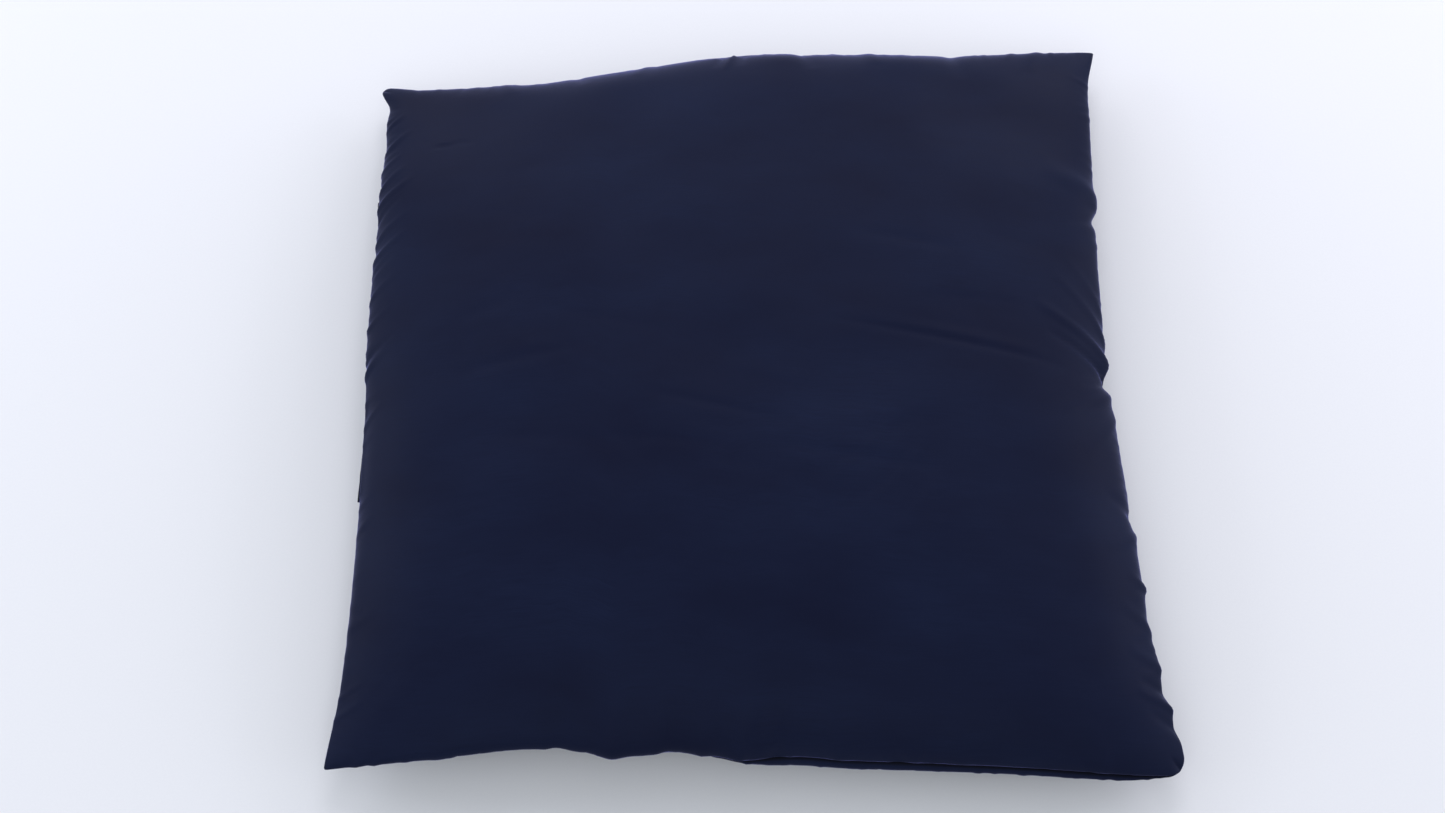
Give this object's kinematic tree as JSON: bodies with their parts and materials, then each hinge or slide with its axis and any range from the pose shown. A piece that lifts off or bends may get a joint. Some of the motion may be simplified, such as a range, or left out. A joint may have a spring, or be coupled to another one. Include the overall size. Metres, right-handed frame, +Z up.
{
  "type": "floor cushion",
  "caption": "Large square knife-edged floor cushion: zipped sewn cover over a stuffed inner cushion, with a sliding zip pull in one side.",
  "frame": {"origin": "on the floor, under the middle of the cushion", "axes": "+X to the right, away from the zip side; +Y away from the front edge, along the zip; +Z up"},
  "size_m": [0.9003, 0.9006, 0.15],
  "materials": {
    "navy_sateen": "smooth polyester-cotton sateen, soft satin sheen",
    "navy_thread": "spun polyester sewing and overlock thread",
    "navy_tape": "woven polyester zip tape, matt",
    "black_nylon": "nylon monofilament coil, smooth",
    "enamelled_zinc": "die-cast zinc under dark stoving enamel",
    "white_cotton": "plain-woven bleached cotton",
    "white_fibre": "hollow polyester fibre, loose and matt"
  },
  "bodies": {
    "cushion": {"cover_top_panel": "navy_sateen", "cover_bottom_panel": "navy_sateen", "cover_seam_overlock": "navy_thread", "zip_lip": "navy_sateen", "zip_bar_tack_near": "navy_thread", "zip_bar_tack_far": "navy_thread", "zip_tape_upper": "navy_tape", "zip_tape_lower": "navy_tape", "zip_coil_upper": "black_nylon", "zip_coil_lower": "black_nylon", "zip_top_stop_upper": "enamelled_zinc", "zip_top_stop_lower": "enamelled_zinc", "zip_bottom_stop": "enamelled_zinc", "inner_casing_top": "white_cotton", "inner_casing_bottom": "white_cotton", "inner_casing_overlock": "white_cotton", "fibre_filling": "white_fibre"},
    "zip_slider": {"zip_slider_body": "enamelled_zinc"},
    "zip_pull": {"zip_pull_tab": "enamelled_zinc"}
  },
  "joints": [
    {"name": "zip_slide", "type": "slide", "parent": "cushion", "child": "zip_slider", "axis": [0, -1, 0], "range_m": [0, 0.375]},
    {"name": "pull_swing", "type": "hinge", "parent": "zip_slider", "child": "zip_pull", "pos_m": [-0.4336, 0.2477, 0.055], "axis": [0, 0, -1], "range_deg": [0, 180]}
  ]
}
